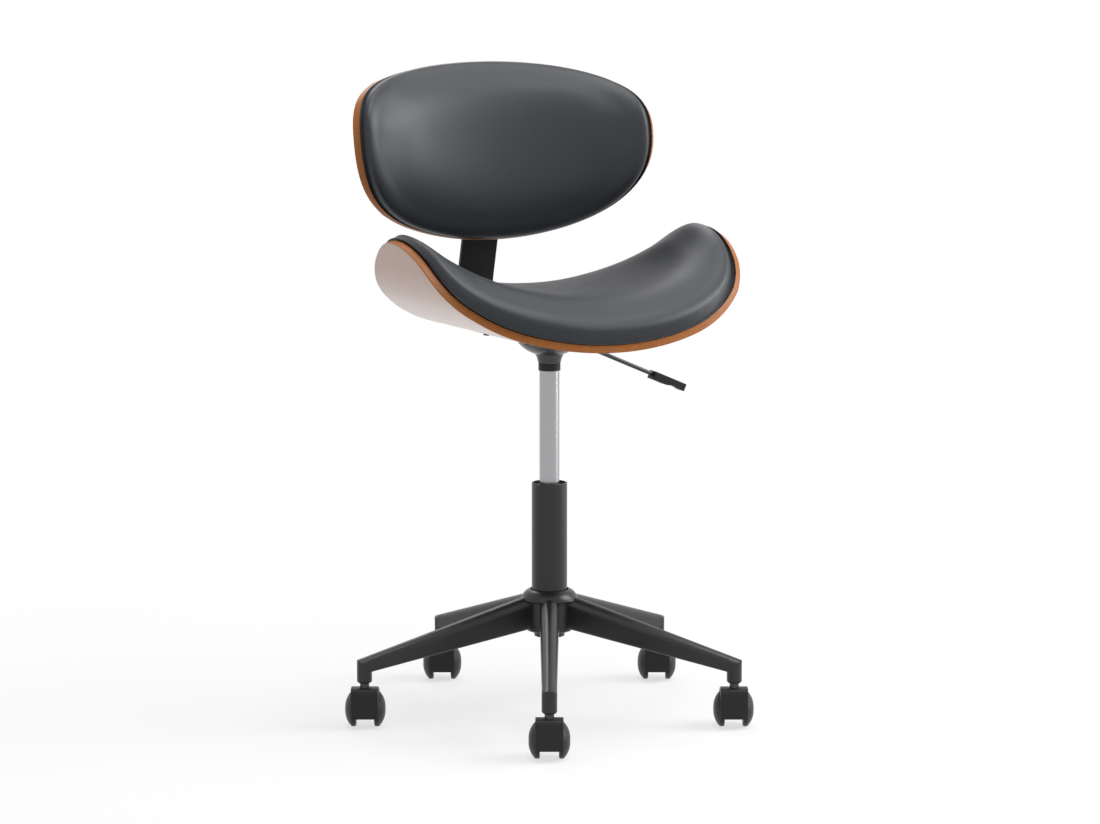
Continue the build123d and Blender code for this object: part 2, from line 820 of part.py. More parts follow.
# Back bracket: a flat bar from under the plate, up behind the seat and along the back shell
bar_grip = plate_grip + plate_gap + bar_thickness
bar_level = seat_plane.origin - seat_up * (bar_grip - bar_thickness / 2)
back_line_foot = back_plane.origin - back_front * (ply + plate_gap + bar_thickness / 2)
riser = Vector(0, -sin(radians(bar_lean)), cos(radians(bar_lean)))
corner = bar_level + seat_rear * bar_corner
offset_to_back = back_line_foot - corner
climb = offset_to_back.cross(back_up).X / riser.cross(back_up).X
upper_corner = corner + riser * climb
with BuildPart() as back_bracket:
    with BuildLine() as bar_path:
        FilletPolyline(
            bar_level + seat_rear * bar_start,
            corner,
            upper_corner,
            back_line_foot + back_up * bar_top,
            radius=[bar_lower_radius, bar_upper_radius],
        )
    with BuildSketch(Plane(bar_path.line @ 0, x_dir=(1, 0, 0), z_dir=bar_path.line % 0)):
        Rectangle(bar_width, bar_thickness)
    sweep()
    ends = back_bracket.edges().filter_by(lambda edge: abs(edge.length - bar_thickness) < plate_gap)
    fillet(ends, bar_end_radius)
    for place in bracket_bolt_planes + back_bolt_planes:
        drill(place, bolt_radius + bolt_hole_gap, 0, 2 * bar_grip)
save(back_bracket, "back_bracket")

with BuildPart() as bracket_bolts:
    bolts(bracket_bolt_planes, bar_grip)
save(bracket_bolts, "bracket_bolts")

with BuildPart() as back_bolts:
    bolts(back_bolt_planes, ply + plate_gap + bar_thickness)
save(back_bolts, "back_bolts")

# Casters: a hood on a stem, with two wheels on one axle
view = radians(-base_turn)
axle_line = Vector(cos(view), sin(view))
trailing = Vector(-sin(view), cos(view))
axle_spot = Vector(caster_trail, wheel_radius)
hood_front = axle_spot - Vector(hood_radius, 0)
hood_shoulder = Vector(hood_front.X + hood_top_length, hood_top)
to_axle = axle_spot - hood_shoulder
slide_length = sqrt(to_axle.length**2 - hood_radius**2)
hood_slide = to_axle.normalized().rotate(Axis.Z, degrees(asin(hood_radius / to_axle.length)))
hood_touch = hood_shoulder + hood_slide * slide_length
for caster, stem in enumerate(stem_places, start=1):
    side_plane = Plane(stem, x_dir=trailing, z_dir=axle_line)
    axle_plane = Plane(side_plane.from_local_coords(axle_spot), x_dir=trailing, z_dir=axle_line)
    upright_plane = Plane(stem, x_dir=axle_line, z_dir=(0, 0, 1))

    with BuildPart() as caster_hood:
        with BuildSketch(side_plane):
            with Locations(axle_spot):
                Circle(hood_radius)
            with Locations((0, hood_bottom)):
                Rectangle(6 * hood_radius, wheel_radius, align=(Align.CENTER, Align.MAX), mode=Mode.SUBTRACT)
            with Locations((caster_trail, wheel_radius + hood_rear_cut)):
                Rectangle(hood_radius, wheel_radius, align=(Align.MIN, Align.MAX), mode=Mode.SUBTRACT)
            with Locations(axle_spot):
                Circle(hood_hub_radius)
            with BuildLine():
                FilletPolyline(
                    hood_front,
                    (hood_front.X, hood_top),
                    hood_shoulder,
                    hood_touch,
                    radius=[hood_front_round, hood_rear_round],
                )
                Polyline(hood_touch, axle_spot, hood_front)
            make_face()
        extrude(amount=hood_half_width, both=True)
        cheeks = caster_hood.faces().filter_by(Plane(stem, z_dir=axle_line))
        inner_reach = (hood_radius - hood_edge) ** 2 + hood_half_width**2
        rims = cheeks.edges().filter_by(
            lambda edge: (edge @ 0.5 - axle_plane.origin).length ** 2 > inner_reach
        )
        fillet(rims, hood_edge)
        for side in (-1, 1):
            with BuildSketch(axle_plane.offset(side * (wheel_inner - hood_web_gap))):
                Circle(wheel_radius + hood_well_gap)
            extrude(amount=side * hood_half_width, mode=Mode.SUBTRACT)
        with BuildSketch(axle_plane):
            Circle(axle_radius + press_gap)
        extrude(amount=hood_half_width, both=True, mode=Mode.SUBTRACT)
        with BuildSketch(upright_plane.offset(hood_top)):
            Circle(stem_root_radius + press_gap)
        extrude(amount=-stem_root_depth, mode=Mode.SUBTRACT)
    save(caster_hood, f"caster_hood_{caster}")

    with BuildPart() as caster_stem:
        with BuildSketch(upright_plane.offset(hood_top - stem_root_depth)):
            Circle(stem_root_radius)
        extrude(amount=stem_root_depth)
        with BuildSketch(upright_plane.offset(hood_top)):
            Circle(stem_collar_radius)
        extrude(amount=socket_bottom - hood_top - swing_gap)
        with BuildSketch(upright_plane.offset(hood_top)):
            Circle(stem_radius)
        extrude(amount=socket_bottom - hood_top + socket_bore_depth - stem_top_gap)
    save(caster_stem, f"caster_stem_{caster}")

    with BuildPart() as caster_axle:
        with BuildSketch(axle_plane):
            Circle(axle_radius)
        extrude(amount=axle_half_length, both=True)
    save(caster_axle, f"caster_axle_{caster}")

    for side, hand in ((-1, "left"), (1, "right")):
        wheel_plane = Plane(axle_plane.origin, x_dir=axle_line * side, z_dir=trailing * side)
        spin_axis = Axis(axle_plane.origin, axle_line)
        bore = axle_radius + running_gap
        tread_end = wheel_inner + wheel_tread
        with BuildPart() as caster_wheel:
            with BuildSketch(wheel_plane):
                with BuildLine():
                    Polyline(
                        (wheel_outer, 0),
                        (axle_half_length + axle_end_gap, 0),
                        (axle_half_length + axle_end_gap, bore),
                        (wheel_inner, bore),
                        (wheel_inner, wheel_radius - wheel_edge),
                        (wheel_inner + wheel_edge, wheel_radius),
                        (tread_end, wheel_radius),
                    )
                    ThreePointArc(
                        (tread_end, wheel_radius),
                        (wheel_dome_width, wheel_dome_radius),
                        (wheel_outer, wheel_cap_radius),
                    )
                    Line((wheel_outer, wheel_cap_radius), (wheel_outer, 0))
                make_face()
            revolve(axis=spin_axis)
        save(caster_wheel, f"caster_wheel_{hand}_{caster}")
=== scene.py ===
import bpy
import bmesh
import json
import math
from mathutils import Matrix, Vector
from mathutils.kdtree import KDTree


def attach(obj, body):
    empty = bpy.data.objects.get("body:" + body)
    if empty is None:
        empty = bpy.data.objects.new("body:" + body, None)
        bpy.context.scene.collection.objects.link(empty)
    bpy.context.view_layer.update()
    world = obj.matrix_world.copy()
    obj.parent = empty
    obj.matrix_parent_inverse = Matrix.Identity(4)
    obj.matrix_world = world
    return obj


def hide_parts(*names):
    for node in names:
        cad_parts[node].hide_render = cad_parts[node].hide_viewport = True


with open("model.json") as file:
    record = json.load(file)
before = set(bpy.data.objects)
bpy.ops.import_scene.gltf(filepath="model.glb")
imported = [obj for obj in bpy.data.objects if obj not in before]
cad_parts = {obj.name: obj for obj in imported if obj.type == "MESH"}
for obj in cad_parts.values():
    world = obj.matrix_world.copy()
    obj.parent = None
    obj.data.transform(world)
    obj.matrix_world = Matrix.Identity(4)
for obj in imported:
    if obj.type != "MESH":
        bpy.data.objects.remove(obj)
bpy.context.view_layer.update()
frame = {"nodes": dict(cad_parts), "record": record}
print("frame loaded,", len(frame["nodes"]), "nodes")
scene = bpy.context.scene

# camera at the photograph's view: degrees and metres, with lens and sensor in millimetres
viewSpec = {
    "turn": -24.0, "pitch": 8.2754, "distance": 4.8571, "height": 1.14126, "slide": 0.0008,
    "lens": 114.51, "sensor": 36.0, "farClip": 60.0,
}


def placeCamera(spec):
    turn = math.radians(spec["turn"])
    right = Vector((math.cos(turn), math.sin(turn), 0))
    toward = Vector((math.sin(turn), -math.cos(turn), 0))
    data = bpy.data.cameras.new("photoView")
    data.lens = spec["lens"]
    data.sensor_width = spec["sensor"]
    data.sensor_fit = "HORIZONTAL"
    data.clip_end = spec["farClip"]
    cam = bpy.data.objects.new("photoView", data)
    cam.location = toward * spec["distance"] + right * spec["slide"] + Vector((0, 0, spec["height"]))
    cam.rotation_euler = (math.radians(90 - spec["pitch"]), 0, turn)
    scene.collection.objects.link(cam)
    scene.camera = cam


placeCamera(viewSpec)
scene.view_settings.view_transform = "Standard"
print("camera placed")


# small helpers for the node materials
def newFinish(name):
    mat = bpy.data.materials.new(name)
    mat.use_nodes = True
    tree = mat.node_tree
    return mat, tree, tree.nodes["Principled BSDF"]


def addNode(tree, kind, **values):
    node = tree.nodes.new(kind)
    for key, value in values.items():
        if hasattr(node, key):
            setattr(node, key, value)
        else:
            node.inputs[key.replace("_", " ")].default_value = value
    return node


def mixColour(tree, share, first, second):
    mix = addNode(tree, "ShaderNodeMix", data_type="RGBA")
    # a Mix node has its colours in sockets 6 and 7, and their mix in output 2
    for slot, value in ((mix.inputs[0], share), (mix.inputs[6], first), (mix.inputs[7], second)):
        if hasattr(value, "links"):
            tree.links.new(value, slot)
        else:
            slot.default_value = value
    return mix.outputs[2]


def spread(tree, value, low, high, top=1.0):
    node = addNode(tree, "ShaderNodeMapRange", From_Max=top, To_Min=low, To_Max=high)
    tree.links.new(value, node.inputs["Value"])
    return node.outputs["Result"]


def bumpInto(tree, shader, height, strength, depth):
    bump = addNode(tree, "ShaderNodeBump", Strength=strength, Distance=depth)
    tree.links.new(height, bump.inputs["Height"])
    tree.links.new(bump.outputs["Normal"], shader.inputs["Normal"])


def objectPlace(tree, scale=(1, 1, 1)):
    place = addNode(tree, "ShaderNodeTexCoord")
    mapping = addNode(tree, "ShaderNodeMapping", Scale=scale)
    tree.links.new(place.outputs["Object"], mapping.inputs["Vector"])
    return mapping.outputs["Vector"]


def noiseAt(tree, place, scale, detail=3.0, rough=0.55):
    noise = addNode(tree, "ShaderNodeTexNoise", Scale=scale, Detail=detail, Roughness=rough)
    tree.links.new(place, noise.inputs["Vector"])
    return noise.outputs["Fac"]


# black leather: pebbles between dark creases, with a finer grain on them
leatherLook = {
    "deep": (0.0132, 0.0156, 0.0205, 1), "worn": (0.0200, 0.0230, 0.0296, 1),
    "crease": (0.007, 0.007, 0.008, 1), "creaseShare": 0.35, "wear": 9.0, "rub": 38.0, "rubDetail": 4.0,
    "grain": 780.0, "pebbleEdge": 0.35, "fine": 2600.0, "fineDetail": 2.0, "fineShare": 0.25,
    "rough": (0.35, 0.45), "shine": 0.41, "bump": 0.22, "bumpDepth": 0.00035,
}


def leatherFinish(spec):
    mat, tree, shader = newFinish("blackLeather")
    place = objectPlace(tree)
    cells = addNode(tree, "ShaderNodeTexVoronoi", feature="DISTANCE_TO_EDGE",
                    Scale=spec["grain"], Randomness=1.0)
    tree.links.new(place, cells.inputs["Vector"])
    pebble = spread(tree, cells.outputs["Distance"], 0.0, 1.0, top=spec["pebbleEdge"])
    colour = mixColour(tree, noiseAt(tree, place, spec["wear"]), spec["deep"], spec["worn"])
    colour = mixColour(tree, spread(tree, pebble, spec["creaseShare"], 0.0), colour, spec["crease"])
    tree.links.new(colour, shader.inputs["Base Color"])
    rubbed = noiseAt(tree, place, spec["rub"], spec["rubDetail"])
    tree.links.new(spread(tree, rubbed, *spec["rough"]), shader.inputs["Roughness"])
    shader.inputs["Specular IOR Level"].default_value = spec["shine"]
    fine = noiseAt(tree, place, spec["fine"], spec["fineDetail"])
    bumpInto(tree, shader, mixColour(tree, spec["fineShare"], pebble, fine), spec["bump"], spec["bumpDepth"])
    return mat


# bent plywood: a lacquered veneer on both faces, and the bare plies along the edge
veneerLook = {
    "light": (0.44, 0.245, 0.150, 1), "dark": (0.30, 0.140, 0.078, 1), "pore": (0.16, 0.066, 0.034, 1),
    "rough": (0.26, 0.42), "shine": 0.5, "coat": 0.75, "coatRough": 0.2,
    "rings": {"Scale": 1.1, "Distortion": 7.0, "Detail": 3.0, "Detail_Scale": 0.8}, "ringShare": 0.28,
}
plyLook = {
    "light": (0.40, 0.138, 0.026, 1), "dark": (0.275, 0.082, 0.014, 1), "pore": (0.17, 0.045, 0.009, 1),
    "rough": (0.36, 0.5), "shine": 0.3, "coat": 0.0, "coatRough": 0.3,
    "plies": 7, "plyShare": (0.25, 0.85),
}
figureGrain = {"stretch": (1.6, 15.0, 1.0), "scale": 4.5, "detail": 5.0, "rough": 0.6}
poreGrain = {"stretch": (14.0, 620.0, 1.0), "scale": 2.0, "detail": 3.0, "rough": 0.7,
             "share": (-0.3, 0.45), "bump": 0.1, "bumpDepth": 0.0003}


def grainOf(tree, spec):
    flat = addNode(tree, "ShaderNodeUVMap", uv_map="flat")
    stretch = addNode(tree, "ShaderNodeMapping", Scale=spec["stretch"])
    tree.links.new(flat.outputs["UV"], stretch.inputs["Vector"])
    place = stretch.outputs["Vector"]
    return place, noiseAt(tree, place, spec["scale"], spec["detail"], spec["rough"])


def veneerColour(tree, spec):
    place, figure = grainOf(tree, figureGrain)
    rings = addNode(tree, "ShaderNodeTexWave", bands_direction="Y", **spec["rings"])
    tree.links.new(place, rings.inputs["Vector"])
    colour = mixColour(tree, figure, spec["dark"], spec["light"])
    return mixColour(tree, spread(tree, rings.outputs["Fac"], 0.0, spec["ringShare"]), colour, spec["dark"])


def plyColour(tree, spec):
    band = 1.0 / spec["plies"]
    depth = addNode(tree, "ShaderNodeUVMap", uv_map="depth")
    apart = addNode(tree, "ShaderNodeSeparateXYZ")
    tree.links.new(depth.outputs["UV"], apart.inputs["Vector"])
    bands = addNode(tree, "ShaderNodeMath", operation="PINGPONG")
    bands.inputs[1].default_value = band
    tree.links.new(apart.outputs["X"], bands.inputs[0])
    share = spread(tree, bands.outputs[0], *spec["plyShare"], top=band)
    return mixColour(tree, share, spec["dark"], spec["light"])


def woodFinish(name, spec, colourOf):
    mat, tree, shader = newFinish(name)
    pores = grainOf(tree, poreGrain)[1]
    poreShare = spread(tree, pores, *poreGrain["share"])
    tree.links.new(mixColour(tree, poreShare, colourOf(tree, spec), spec["pore"]), shader.inputs["Base Color"])
    tree.links.new(spread(tree, pores, *spec["rough"]), shader.inputs["Roughness"])
    shader.inputs["Specular IOR Level"].default_value = spec["shine"]
    shader.inputs["Coat Weight"].default_value = spec["coat"]
    shader.inputs["Coat Roughness"].default_value = spec["coatRough"]
    bumpInto(tree, shader, pores, poreGrain["bump"], poreGrain["bumpDepth"])
    return mat


# paint and plastic: faint blotches, uneven gloss and orange peel
paintLook = {"blotch": 22.0, "pale": 1.5, "smear": 60.0, "smearDetail": 4.0, "unevenness": (-0.05, 0.07),
             "peel": 900.0, "peelDetail": 2.0, "peelDepth": 0.0002}


def paintFinish(name, colour, rough, peel, shine=0.5):
    mat, tree, shader = newFinish(name)
    place = objectPlace(tree)
    pale = tuple(c * paintLook["pale"] for c in colour[:3]) + (1,)
    blotches = noiseAt(tree, place, paintLook["blotch"])
    tree.links.new(mixColour(tree, blotches, colour, pale), shader.inputs["Base Color"])
    smears = noiseAt(tree, place, paintLook["smear"], paintLook["smearDetail"])
    low, high = (rough + change for change in paintLook["unevenness"])
    tree.links.new(spread(tree, smears, low, high), shader.inputs["Roughness"])
    shader.inputs["Specular IOR Level"].default_value = shine
    dimples = noiseAt(tree, place, paintLook["peel"], paintLook["peelDetail"])
    bumpInto(tree, shader, dimples, peel, paintLook["peelDepth"])
    return mat


# bare metal: fine lines across the long way
steelLook = {"lines": 30.0, "linesDetail": 4.0, "linesRough": 0.7, "dull": 0.84, "unevenness": (-0.06, 0.08),
             "bump": 0.04, "bumpDepth": 0.0001}


def steelFinish(name, colour, rough, stretch):
    mat, tree, shader = newFinish(name)
    place = objectPlace(tree, stretch)
    lines = noiseAt(tree, place, steelLook["lines"], steelLook["linesDetail"], steelLook["linesRough"])
    dull = tuple(c * steelLook["dull"] for c in colour[:3]) + (1,)
    tree.links.new(mixColour(tree, lines, dull, colour), shader.inputs["Base Color"])
    low, high = (rough + change for change in steelLook["unevenness"])
    tree.links.new(spread(tree, lines, low, high), shader.inputs["Roughness"])
    shader.inputs["Metallic"].default_value = 1.0
    bumpInto(tree, shader, lines, steelLook["bump"], steelLook["bumpDepth"])
    return mat


finishes = {
    "black_leather": leatherFinish(leatherLook),
    "bent_ply": woodFinish("veneer", veneerLook, veneerColour),
    "ply_edge": woodFinish("plyEdge", plyLook, plyColour),
    "black_paint": paintFinish("blackPaint", (0.010, 0.010, 0.0106, 1), rough=0.30, peel=0.06, shine=0.4),
    "matte_paint": paintFinish("mattePaint", (0.006, 0.006, 0.0066, 1), rough=0.55, peel=0.05, shine=0.22),
    "dark_steel": paintFinish("darkDish", (0.022, 0.0225, 0.024, 1), rough=0.24, peel=0.03),
    "lever_steel": paintFinish("leverRod", (0.022, 0.022, 0.023, 1), rough=0.3, peel=0.03),
    "black_plastic": paintFinish("blackPlastic", (0.010, 0.010, 0.0115, 1), rough=0.46, peel=0.12, shine=0.26),
    "wheel_nylon": paintFinish("wheelNylon", (0.011, 0.0112, 0.013, 1), rough=0.40, peel=0.08, shine=0.3),
    "silver_cylinder": steelFinish("silverCylinder", (0.40, 0.40, 0.41, 1), rough=0.30, stretch=(1, 1, 40)),
    "zinc_steel": steelFinish("zincSteel", (0.42, 0.42, 0.43, 1), rough=0.34, stretch=(1, 1, 12)),
}
slotOf = {part["node"]: part["material_slot"] for part in frame["record"]["subparts"]}
ownFinish = {"back_bracket": "matte_paint"}
for name, node in frame["nodes"].items():
    node.data.materials.clear()
    node.data.materials.append(finishes[ownFinish.get(name, slotOf[name])])
print("finishes on", len(frame["nodes"]), "nodes")

# the two bent sheets: bends are (radius, degrees) from the middle outwards, low and high the
# reach of the oval to each side of its centre line with its two powers
seatSheet = {
    "origin": (0, 0, 0.551), "lean": 1.0, "facing": "seat", "ply": 0.011,
    "bends": ((0.440, 16.5), (0.200, 22.5), (0.090, 36.5)), "halfRun": 0.297, "centre": -0.013,
    "low": (0.206, 2.3, 2.1), "high": (0.155, 2.8, 1.8), "edge": 0.0013, "grid": (120, 84),
}
backSheet = {
    "origin": (0, 0.225, 0.8015), "lean": 11.0, "facing": "back", "ply": 0.011,
    "bends": ((0.550, 13.0), (0.171, 50.0)), "halfRun": 0.248, "centre": 0.0,
    "low": (0.143, 2.0, 2.3), "high": (0.114, 2.0, 2.3), "edge": 0.0013, "grid": (110, 76),
}
shellEdge = {"sharp": 1.0, "steps": 3, "side": 0.9}  # radians, cuts, and how upright a face still shows plies


def sheetAxes(spec):
    lean = math.radians(spec["lean"])
    if spec["facing"] == "seat":
        return Vector((0, math.cos(lean), -math.sin(lean))), Vector((0, math.sin(lean), math.cos(lean)))
    return Vector((0, math.sin(lean), math.cos(lean))), Vector((0, -math.cos(lean), math.sin(lean)))


def bendPoint(spec, run, across, lift):
    # a point of the flat sheet, taken to where the bent sheet has it
    acrossAxis, upAxis = sheetAxes(spec)
    left = abs(run)
    x = z = angle = 0.0
    for radius, turn in spec["bends"]:
        step = min(left / radius, math.radians(turn))
        x += radius * (math.sin(angle + step) - math.sin(angle))
        z += radius * (math.cos(angle) - math.cos(angle + step))
        angle += step
        left -= step * radius
    x += left * math.cos(angle) - lift * math.sin(angle)
    z += left * math.sin(angle) + lift * math.cos(angle)
    side = 1 if run >= 0 else -1
    return Vector(spec["origin"]) + Vector((side * x, 0, 0)) + acrossAxis * across + upAxis * z


def liftOf(spec, point):
    # the other way round: run, across and height over the sheet of a point near it
    acrossAxis, upAxis = sheetAxes(spec)
    local = point - Vector(spec["origin"])
    across, x, z = local.dot(acrossAxis), abs(local.x), local.dot(upAxis)
    cx, cz, angle, run = 0.0, spec["bends"][0][0], 0.0, 0.0
    for index, (radius, turn) in enumerate(spec["bends"]):
        here = math.atan2(x - cx, cz - z)
        end = angle + math.radians(turn)
        if here <= end or index == len(spec["bends"]) - 1:
            break
        run += radius * math.radians(turn)
        angle = end
        nextRadius = spec["bends"][index + 1][0]
        cx += (radius - nextRadius) * math.sin(angle)
        cz -= (radius - nextRadius) * math.cos(angle)
    if here > end:  # past the last bend the sheet is straight
        tangent = Vector((math.cos(end), math.sin(end)))
        foot = Vector((cx + radius * math.sin(end), cz - radius * math.cos(end)))
        gap = Vector((x, z)) - foot
        run += radius * math.radians(turn) + gap.dot(tangent)
        lift = gap.dot(Vector((-tangent.y, tangent.x)))
    else:
        run += radius * (here - angle)
        lift = radius - math.hypot(x - cx, cz - z)
    return math.copysign(run, local.x), across, lift


def ovalPoint(spec, angle):
    reach, swell, blunt = spec["high"] if math.sin(angle) > 0 else spec["low"]
    run = spec["halfRun"] * math.copysign(abs(math.cos(angle)) ** (2 / swell), math.cos(angle))
    return run, reach * math.copysign(abs(math.sin(angle)) ** (2 / blunt), math.sin(angle))


def smoothFaces(mesh):
    for poly in mesh.polygons:
        poly.use_smooth = True


def linkMesh(name, bm, *mats):
    mesh = bpy.data.meshes.new(name)
    bm.to_mesh(mesh)
    bm.free()
    piece = bpy.data.objects.new(name, mesh)
    scene.collection.objects.link(piece)
    for mat in mats:
        mesh.materials.append(mat)
    smoothFaces(mesh)
    return piece


def ovalGrid(cells):
    # even grid drawn out to a disc: each corner with its share of the reach and its angle
    bm = bmesh.new()
    bmesh.ops.create_grid(bm, x_segments=cells[0], y_segments=cells[1], size=1.0)
    polar = []
    for v in bm.verts:
        u, w = v.co.x, v.co.y
        x, y = u * math.sqrt(1 - w * w / 2), w * math.sqrt(1 - u * u / 2)
        polar.append((min(math.hypot(x, y), 1.0), math.atan2(y, x)))
    return bm, polar


def addUnderside(bm, drop):
    # a second skin under the first, joined along the outline
    under = bmesh.ops.extrude_face_region(bm, geom=bm.faces[:])
    lower = [g for g in under["geom"] if isinstance(g, bmesh.types.BMVert)]
    bmesh.ops.translate(bm, vec=(0, 0, -drop), verts=lower)
    bmesh.ops.recalc_face_normals(bm, faces=bm.faces[:])


def bentShell(name, spec, body, node):
    bm, polar = ovalGrid(spec["grid"])
    for v, (reach, angle) in zip(bm.verts, polar):
        run, across = ovalPoint(spec, angle)
        v.co = Vector((run * reach, across * reach + spec["centre"], 0))
    addUnderside(bm, spec["ply"])
    rims = [e for e in bm.edges if e.calc_face_angle(0) > shellEdge["sharp"]]
    bmesh.ops.bevel(bm, geom=rims, offset=spec["edge"], offset_type="OFFSET", segments=shellEdge["steps"],
                    profile=0.5, affect="EDGES", material=-1)
    flat = bm.loops.layers.uv.new("flat")
    depth = bm.loops.layers.uv.new("depth")
    for face in bm.faces:
        face.material_index = 1 if abs(face.normal.z) < shellEdge["side"] else 0
        for loop in face.loops:
            loop[flat].uv = (loop.vert.co.x, loop.vert.co.y)
            loop[depth].uv = (-loop.vert.co.z / spec["ply"], 0)
    for v in bm.verts:
        v.co = bendPoint(spec, v.co.x, v.co.y, v.co.z)
    piece = linkMesh(name, bm, finishes["bent_ply"], finishes["ply_edge"])
    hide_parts(node)
    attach(piece, body)


bentShell("seatShell", seatSheet, "seat", "seat_shell")
bentShell("backShell", backSheet, "seat", "back_shell")
print("bent shells made")

# pads: a stuffed skin over each shell, rolled down to its outline, that swells a little by pressure
# thin is where the skin starts to thin out and by how much, even rounds its middle line, roll is the
# width and the two powers of the rim, overhang stands out past the outline along and across the sheet
seatPadSpec = {
    "sheet": seatSheet, "grid": (104, 72), "thick": 0.054, "thin": (0.5, 0.45), "even": 0.060,
    "roll": (0.085, 2.6, 0.48), "overhang": (0.0085, 0.007), "corner": 0.002, "full": 0.4,
    "inset": 0.0006, "clear": 0.0006, "pressure": 2.5, "shrink": 0.04, "cap": 0.003, "rim": 0.060,
    "frames": 20, "blends": 24, "evenings": 40,
}
backPadSpec = {
    "sheet": backSheet, "grid": (92, 56), "thick": 0.038, "thin": (0.0, 0.0), "even": 0.020,
    "roll": (0.114, 2.8, 0.47), "overhang": (0.009, 0.004), "corner": 0.002, "full": 0.4,
    "inset": 0.0004, "clear": 0.0006, "pressure": 1.6, "shrink": 0.04, "cap": 0.003, "rim": 0.050,
    "frames": 20, "blends": 24, "evenings": 12,
}
skinMake = {
    "outlinePoints": 6000, "linePoints": 81, "lineSpare": 0.03, "lineEnd": 1.001, "nudge": 1e-4,
    "atRim": 0.9999, "centreFade": 4, "touch": 1e-5, "evenShare": 0.5,
}
clothMake = {
    "quality": 5, "mass": 0.3, "tension_stiffness": 18, "compression_stiffness": 18,
    "bending_stiffness": 6, "vertex_group_mass": "held", "use_pressure": True,
}


def easeIn(value, start, end):
    step = min(max((value - start) / (end - start), 0.0), 1.0)
    return step * step * (3 - 2 * step)


def outlineTree(sheet):
    count = skinMake["outlinePoints"]
    tree = KDTree(count)
    for index in range(count):
        run, across = ovalPoint(sheet, 2 * math.pi * index / count)
        tree.insert((run, across, 0), index)
    tree.balance()
    return tree


def innerLine(spec):
    # middle line of the skin from the centre outwards, rounded where the shell bends sharply
    sheet, count = spec["sheet"], skinMake["linePoints"]
    step = (sheet["halfRun"] + skinMake["lineSpare"]) / (count - 1)
    start, loss = spec["thin"]
    line = []
    for index in range(-1, count):
        lift = spec["thick"] * (1 - loss * easeIn(index * step / sheet["halfRun"], start, 1.0))
        line.append(bendPoint(sheet, abs(index) * step, 0, lift))
    line[0].x = -line[0].x
    for turn in range(int(2 * (spec["even"] / step) ** 2)):
        eased = [(line[i - 1] + line[i] * 2 + line[i + 1]) / 4 for i in range(1, count)]
        line = [Vector((-eased[1].x, eased[1].y, eased[1].z))] + eased + [eased[-1] * 2 - eased[-2]]
    return line[1:], step


def lineAt(line, step, run):
    place = min(abs(run) / step, len(line) - skinMake["lineEnd"])
    index = int(place)
    point = line[index].lerp(line[index + 1], place - index)
    return Vector((math.copysign(point.x, run), point.y, point.z))


def outwardAt(sheet, angle):
    ahead = ovalPoint(sheet, angle + skinMake["nudge"])
    behind = ovalPoint(sheet, angle - skinMake["nudge"])
    return Vector((ahead[1] - behind[1], behind[0] - ahead[0])).normalized()


def padBlank(name, spec):
    sheet = spec["sheet"]
    bm, polar = ovalGrid(spec["grid"])
    outline = outlineTree(sheet)
    line, step = innerLine(spec)
    acrossAxis = sheetAxes(sheet)[0]
    width, power, root = spec["roll"]
    top = []
    for v, (reach, angle) in zip(bm.verts, polar):
        run, across = ovalPoint(sheet, angle)
        out = math.sin(reach * math.pi / 2) if reach < skinMake["atRim"] else 1.0
        gap = outline.find((run * out, across * out, 0))[2] if out < 1.0 else 0.0
        full = (1 - (1 - min(gap / width, 1.0)) ** power) ** root
        outward = outwardAt(sheet, angle)
        corner = spec["corner"] * (2 * outward.x * outward.y) ** 2
        outward = outward * (easeIn(full, 0.0, spec["full"]) * out ** skinMake["centreFade"])
        out *= 1 - spec["inset"] / math.hypot(run, across)
        run = run * out + (spec["overhang"][0] + corner) * outward.x
        across = across * out + (spec["overhang"][1] + corner) * outward.y + sheet["centre"]
        v.co = Vector((run, across, spec["clear"]))
        foot = bendPoint(sheet, run, across, spec["clear"])
        top.append(foot.lerp(lineAt(line, step, run) + acrossAxis * across, full))
    count = len(top)
    addUnderside(bm, 0)
    bm.verts.index_update()
    for v in bm.verts:
        v.co = top[v.index] if v.index < count else bendPoint(sheet, v.co.x, v.co.y, v.co.z)
    bmesh.ops.remove_doubles(bm, verts=bm.verts[:], dist=skinMake["touch"])
    bmesh.ops.recalc_face_normals(bm, faces=bm.faces[:])
    piece = linkMesh(name, bm, finishes["black_leather"])
    low = spec["clear"] + skinMake["touch"]
    held = [v.index for v in piece.data.vertices if liftOf(sheet, v.co)[2] < low]
    piece.vertex_groups.new(name="held").add(held, 1.0, "REPLACE")
    return piece, outline


def applyModifiers(piece):
    bpy.context.view_layer.update()
    shape = bpy.data.meshes.new_from_object(piece.evaluated_get(bpy.context.evaluated_depsgraph_get()))
    old = piece.data
    piece.modifiers.clear()
    piece.data = shape
    bpy.data.meshes.remove(old)


def swell(piece, spec):
    cloth = piece.modifiers.new("swell", "CLOTH")
    for key, value in clothMake.items():
        setattr(cloth.settings, key, value)
    cloth.settings.shrink_min = spec["shrink"]
    cloth.settings.uniform_pressure_force = spec["pressure"]
    cloth.settings.effector_weights.gravity = 0.0
    cloth.point_cache.frame_start = 1
    cloth.point_cache.frame_end = spec["frames"]
    for step in range(1, spec["frames"] + 1):
        scene.frame_set(step)
    applyModifiers(piece)
    scene.frame_set(1)


